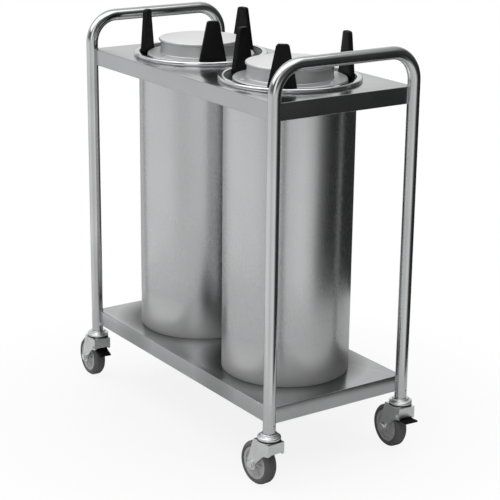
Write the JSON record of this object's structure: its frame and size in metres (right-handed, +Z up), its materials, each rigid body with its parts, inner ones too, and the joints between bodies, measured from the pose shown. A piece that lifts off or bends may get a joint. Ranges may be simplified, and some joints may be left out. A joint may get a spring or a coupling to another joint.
{
  "type": "mobile plate dispenser",
  "caption": "Open-frame mobile plate dispenser: two self-levelling sprung tubes with plate guides, between two decks and bent-tube push rails, on swivel casters.",
  "frame": {"origin": "on the floor under the centre of the bounding box", "axes": "+X along the cart towards its right end, -Y towards its front, +Z up"},
  "size_m": [0.9214, 0.441, 0.977],
  "materials": {
    "polished_steel": "polished stainless",
    "brushed_steel": "satin brushed stainless",
    "zinc_plate": "bright zinc plate",
    "spring_steel": "oiled spring wire",
    "black_plastic": "fine matt moulding",
    "white_nylon": "plain",
    "black_rubber": "matt",
    "grey_tyre": "smooth tread",
    "grey_plastic": "plain"
  },
  "bodies": {
    "frame": {"left_end_frame": "polished_steel", "right_end_frame": "polished_steel", "top_deck": "brushed_steel", "base_deck": "brushed_steel", "base_stiffener": "brushed_steel", "left_tube_shell": "brushed_steel", "left_tube_rim": "polished_steel", "left_spring_hanger": "brushed_steel", "left_plate_guide_1": "black_plastic", "left_plate_guide_2": "black_plastic", "left_plate_guide_3": "black_plastic", "left_carrier_spring_1": "spring_steel", "left_carrier_spring_2": "spring_steel", "left_carrier_spring_3": "spring_steel", "left_down_stop": "black_rubber", "right_tube_shell": "brushed_steel", "right_tube_rim": "polished_steel", "right_spring_hanger": "brushed_steel", "right_plate_guide_1": "black_plastic", "right_plate_guide_2": "black_plastic", "right_plate_guide_3": "black_plastic", "right_carrier_spring_1": "spring_steel", "right_carrier_spring_2": "spring_steel", "right_carrier_spring_3": "spring_steel", "right_down_stop": "black_rubber", "front_left_caster_stem": "zinc_plate", "front_right_caster_stem": "zinc_plate", "rear_left_caster_stem": "zinc_plate", "rear_right_caster_stem": "zinc_plate"},
    "left_carrier": {"left_carrier_disc": "brushed_steel", "left_carrier_cage": "zinc_plate", "left_carrier_guide_ring": "white_nylon"},
    "right_carrier": {"right_carrier_disc": "brushed_steel", "right_carrier_cage": "zinc_plate", "right_carrier_guide_ring": "white_nylon"},
    "front_left_fork": {"front_left_caster_fork": "zinc_plate", "front_left_axle": "zinc_plate", "front_left_brake_pin": "zinc_plate"},
    "front_left_wheel": {"front_left_wheel_hub": "grey_plastic", "front_left_tyre": "grey_tyre"},
    "front_left_brake": {"front_left_brake_lever": "black_plastic"},
    "front_right_fork": {"front_right_caster_fork": "zinc_plate", "front_right_axle": "zinc_plate"},
    "front_right_wheel": {"front_right_wheel_hub": "grey_plastic", "front_right_tyre": "grey_tyre"},
    "rear_left_fork": {"rear_left_caster_fork": "zinc_plate", "rear_left_axle": "zinc_plate"},
    "rear_left_wheel": {"rear_left_wheel_hub": "grey_plastic", "rear_left_tyre": "grey_tyre"},
    "rear_right_fork": {"rear_right_caster_fork": "zinc_plate", "rear_right_axle": "zinc_plate", "rear_right_brake_pin": "zinc_plate"},
    "rear_right_wheel": {"rear_right_wheel_hub": "grey_plastic", "rear_right_tyre": "grey_tyre"},
    "rear_right_brake": {"rear_right_brake_lever": "black_plastic"}
  },
  "joints": [
    {"name": "left_carrier_slide", "type": "slide", "parent": "frame", "child": "left_carrier", "axis": [0, 0, -1], "range_m": [0, 0.385], "stiffness_N_per_m": 590, "springref_m": -0.068, "deforming": ["left_carrier_spring_1", "left_carrier_spring_2", "left_carrier_spring_3"]},
    {"name": "right_carrier_slide", "type": "slide", "parent": "frame", "child": "right_carrier", "axis": [0, 0, -1], "range_m": [0, 0.385], "stiffness_N_per_m": 590, "springref_m": -0.068, "deforming": ["right_carrier_spring_1", "right_carrier_spring_2", "right_carrier_spring_3"]},
    {"name": "front_left_swivel", "type": "hinge", "parent": "frame", "child": "front_left_fork", "pos_m": [-0.37284, -0.18988, 0.122], "axis": [0, 0, 1], "continuous": true},
    {"name": "front_left_wheel_spin", "type": "hinge", "parent": "front_left_fork", "child": "front_left_wheel", "pos_m": [-0.40875, -0.18737, 0.051], "axis": [-0.0698, -0.9976, 0], "continuous": true},
    {"name": "front_left_brake_pedal", "type": "hinge", "parent": "front_left_fork", "child": "front_left_brake", "pos_m": [-0.35588, -0.19106, 0.095], "axis": [0.0698, 0.9976, 0], "range_deg": [-25, 0]},
    {"name": "front_right_swivel", "type": "hinge", "parent": "frame", "child": "front_right_fork", "pos_m": [0.41016, -0.18988, 0.122], "axis": [0, 0, 1], "continuous": true},
    {"name": "front_right_wheel_spin", "type": "hinge", "parent": "front_right_fork", "child": "front_right_wheel", "pos_m": [0.37421, -0.19176, 0.051], "axis": [0.0523, -0.9986, 0], "continuous": true},
    {"name": "rear_left_swivel", "type": "hinge", "parent": "frame", "child": "rear_left_fork", "pos_m": [-0.37284, 0.18612, 0.122], "axis": [0, 0, 1], "continuous": true},
    {"name": "rear_left_wheel_spin", "type": "hinge", "parent": "rear_left_fork", "child": "rear_left_wheel", "pos_m": [-0.40849, 0.19113, 0.051], "axis": [-0.1392, -0.9903, 0], "continuous": true},
    {"name": "rear_right_swivel", "type": "hinge", "parent": "frame", "child": "rear_right_fork", "pos_m": [0.41016, 0.18612, 0.122], "axis": [0, 0, 1], "continuous": true},
    {"name": "rear_right_wheel_spin", "type": "hinge", "parent": "rear_right_fork", "child": "rear_right_wheel", "pos_m": [0.37425, 0.18863, 0.051], "axis": [-0.0698, -0.9976, 0], "continuous": true},
    {"name": "rear_right_brake_pedal", "type": "hinge", "parent": "rear_right_fork", "child": "rear_right_brake", "pos_m": [0.42712, 0.18494, 0.095], "axis": [0.0698, 0.9976, 0], "range_deg": [0, 25]}
  ]
}
